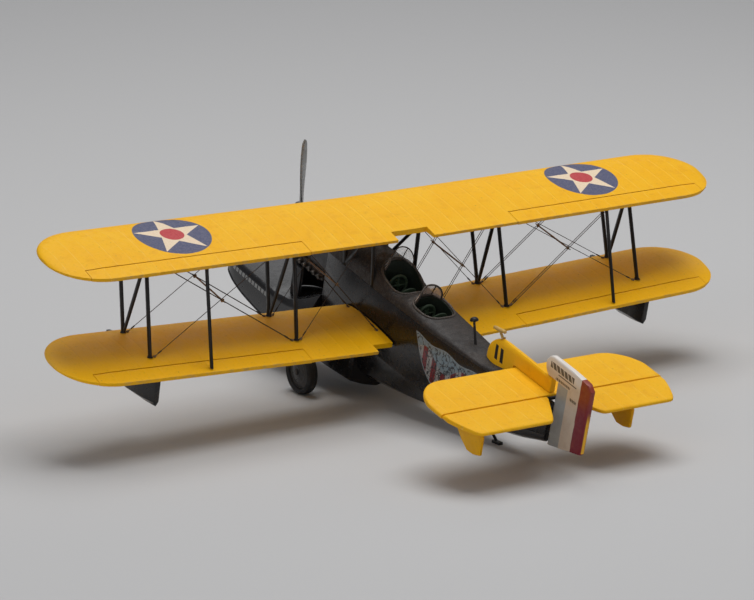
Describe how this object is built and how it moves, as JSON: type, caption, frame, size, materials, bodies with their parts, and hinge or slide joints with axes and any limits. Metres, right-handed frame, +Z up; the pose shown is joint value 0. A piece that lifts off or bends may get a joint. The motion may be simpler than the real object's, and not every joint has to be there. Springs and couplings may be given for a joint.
{
  "type": "model aircraft",
  "caption": "Parked scale model of an amphibian biplane with a propeller, turning control surfaces and retracting wheels.",
  "frame": {"origin": "centre of the model's box, on the surface it stands on", "axes": "+X to the port wing tip, -Y to the nose, +Z up; the airframe sits nose-up by 14.4 degrees on its wheels and tail skid"},
  "size_m": [0.1902, 0.1518, 0.0601],
  "materials": {
    "wing_yellow": "bright orange-yellow paint, satin",
    "rudder_paint": "off-white paint with blue-grey and dark red upright stripes, satin",
    "hull_black": "near-black gloss paint",
    "deck_grey": "warm dark grey paint, matt",
    "engine_metal": "dull metal paint",
    "propeller_metal": "grey metal, satin",
    "cockpit_green": "dark green paint, matt",
    "glazing": "clear, slightly warm",
    "tyre_rubber": "dark grey, matt",
    "wire_brown": "dark brown thread, matt",
    "strut_black": "black paint, satin"
  },
  "bodies": {
    "root": {"upper_wing": "wing_yellow", "lower_wing_port": "wing_yellow", "lower_wing_starboard": "wing_yellow", "strut_outboard_front_port": "strut_black", "strut_outboard_rear_port": "strut_black", "strut_outboard_diagonal_port": "strut_black", "strut_inboard_front_port": "strut_black", "strut_inboard_rear_port": "strut_black", "strut_inboard_diagonal_port": "strut_black", "strut_outboard_front_starboard": "strut_black", "strut_outboard_rear_starboard": "strut_black", "strut_outboard_diagonal_starboard": "strut_black", "strut_inboard_front_starboard": "strut_black", "strut_inboard_rear_starboard": "strut_black", "strut_inboard_diagonal_starboard": "strut_black", "cabane_port": "strut_black", "cabane_starboard": "strut_black", "rigging_outboard_port": "wire_brown", "rigging_inboard_port": "wire_brown", "rigging_outboard_starboard": "wire_brown", "rigging_inboard_starboard": "wire_brown", "hull": "hull_black", "fuselage": "hull_black", "turtledeck": "deck_grey", "engine_cowl": "deck_grey", "cylinder_bank_port": "engine_metal", "cylinder_bank_starboard": "engine_metal", "radiator": "hull_black", "propeller_shaft": "propeller_metal", "seat_front": "cockpit_green", "windscreen_front": "glazing", "seat_rear": "cockpit_green", "windscreen_rear": "glazing", "stabilizer": "wing_yellow", "fin": "wing_yellow", "finlet_port": "wing_yellow", "finlet_starboard": "wing_yellow", "tip_float_port": "hull_black", "tip_float_starboard": "hull_black", "mast": "strut_black", "tail_skid": "strut_black"},
    "propeller": {"propeller": "propeller_metal"},
    "elevators": {"elevator_port": "wing_yellow", "elevator_starboard": "wing_yellow", "elevator_torque_tube": "strut_black"},
    "rudder": {"rudder": "rudder_paint"},
    "control_wheel_front": {"control_wheel_front": "cockpit_green"},
    "control_wheel_rear": {"control_wheel_rear": "cockpit_green"},
    "gear_port": {"gear_leg_port": "strut_black"},
    "wheel_port": {"tyre_port": "tyre_rubber", "wheel_disc_port": "strut_black"},
    "aileron_lower_port": {"aileron_lower_port": "wing_yellow"},
    "aileron_upper_port": {"aileron_upper_port": "wing_yellow"},
    "aileron_link_port": {"aileron_link_port": "strut_black"},
    "gear_starboard": {"gear_leg_starboard": "strut_black"},
    "wheel_starboard": {"tyre_starboard": "tyre_rubber", "wheel_disc_starboard": "strut_black"},
    "aileron_lower_starboard": {"aileron_lower_starboard": "wing_yellow"},
    "aileron_upper_starboard": {"aileron_upper_starboard": "wing_yellow"},
    "aileron_link_starboard": {"aileron_link_starboard": "strut_black"}
  },
  "joints": [
    {"name": "propeller_spin", "type": "hinge", "parent": "root", "child": "propeller", "pos_m": [0, -0.0495, 0.04146], "axis": [0, 0.9686, -0.2487], "continuous": true},
    {"name": "gear_port_retract", "type": "hinge", "parent": "root", "child": "gear_port", "pos_m": [0.00985, -0.02344, 0.01391], "axis": [0, -0.9686, 0.2487], "range_deg": [0, 65]},
    {"name": "gear_starboard_retract", "type": "hinge", "parent": "root", "child": "gear_starboard", "pos_m": [-0.00985, -0.02344, 0.01391], "axis": [0, 0.9686, -0.2487], "range_deg": [0, 65]},
    {"name": "wheel_port_spin", "type": "hinge", "parent": "gear_port", "child": "wheel_port", "pos_m": [0.015, -0.02552, 0.00577], "axis": [1, 0, 0], "continuous": true},
    {"name": "wheel_starboard_spin", "type": "hinge", "parent": "gear_starboard", "child": "wheel_starboard", "pos_m": [-0.015, -0.02552, 0.00577], "axis": [1, 0, 0], "continuous": true},
    {"name": "aileron_lower_port_hinge", "type": "hinge", "parent": "root", "child": "aileron_lower_port", "pos_m": [0.056, 0.00223, 0.01978], "axis": [0.9991, 0.0104, 0.0406], "range_deg": [-20, 20]},
    {"name": "aileron_upper_port_hinge", "type": "hinge", "parent": "root", "child": "aileron_upper_port", "pos_m": [0.056, -0.0001, 0.04489], "axis": [0.9999, 0.0026, 0.0101], "range_deg": [-20, 20]},
    {"name": "aileron_link_port_pivot", "type": "hinge", "parent": "aileron_lower_port", "child": "aileron_link_port", "pos_m": [0.0587, 0.00519, 0.01965], "axis": [1, 0, 0], "range_deg": [-20, 20]},
    {"name": "aileron_lower_starboard_hinge", "type": "hinge", "parent": "root", "child": "aileron_lower_starboard", "pos_m": [-0.056, 0.00223, 0.01978], "axis": [0.9991, -0.0104, -0.0406], "range_deg": [-20, 20]},
    {"name": "aileron_upper_starboard_hinge", "type": "hinge", "parent": "root", "child": "aileron_upper_starboard", "pos_m": [-0.056, -0.0001, 0.04489], "axis": [0.9999, -0.0026, -0.0101], "range_deg": [-20, 20]},
    {"name": "aileron_link_starboard_pivot", "type": "hinge", "parent": "aileron_lower_starboard", "child": "aileron_link_starboard", "pos_m": [-0.0587, 0.00519, 0.01965], "axis": [1, 0, 0], "range_deg": [-20, 20]},
    {"name": "elevator_hinge", "type": "hinge", "parent": "root", "child": "elevators", "pos_m": [0, 0.06077, 0.01655], "axis": [1, 0, 0], "range_deg": [-20, 25]},
    {"name": "rudder_hinge", "type": "hinge", "parent": "root", "child": "rudder", "pos_m": [0, 0.0618, 0.01453], "axis": [0, 0.2487, 0.9686], "range_deg": [-25, 25]},
    {"name": "control_wheel_front_turn", "type": "hinge", "parent": "root", "child": "control_wheel_front", "pos_m": [0, -0.00475, 0.02997], "axis": [0, 0.9686, -0.2487], "range_deg": [-90, 90]},
    {"name": "control_wheel_rear_turn", "type": "hinge", "parent": "root", "child": "control_wheel_rear", "pos_m": [0, 0.00827, 0.02559], "axis": [0, 0.9686, -0.2487], "range_deg": [-90, 90]}
  ],
  "couplings": [
    {"joint": "aileron_upper_port_hinge", "follows": "aileron_lower_port_hinge", "ratio": 1},
    {"joint": "aileron_lower_starboard_hinge", "follows": "aileron_lower_port_hinge", "ratio": -1},
    {"joint": "aileron_upper_starboard_hinge", "follows": "aileron_lower_port_hinge", "ratio": -1},
    {"joint": "aileron_link_port_pivot", "follows": "aileron_lower_port_hinge", "ratio": -1},
    {"joint": "aileron_link_starboard_pivot", "follows": "aileron_lower_port_hinge", "ratio": 1},
    {"joint": "gear_starboard_retract", "follows": "gear_port_retract", "ratio": 1}
  ]
}
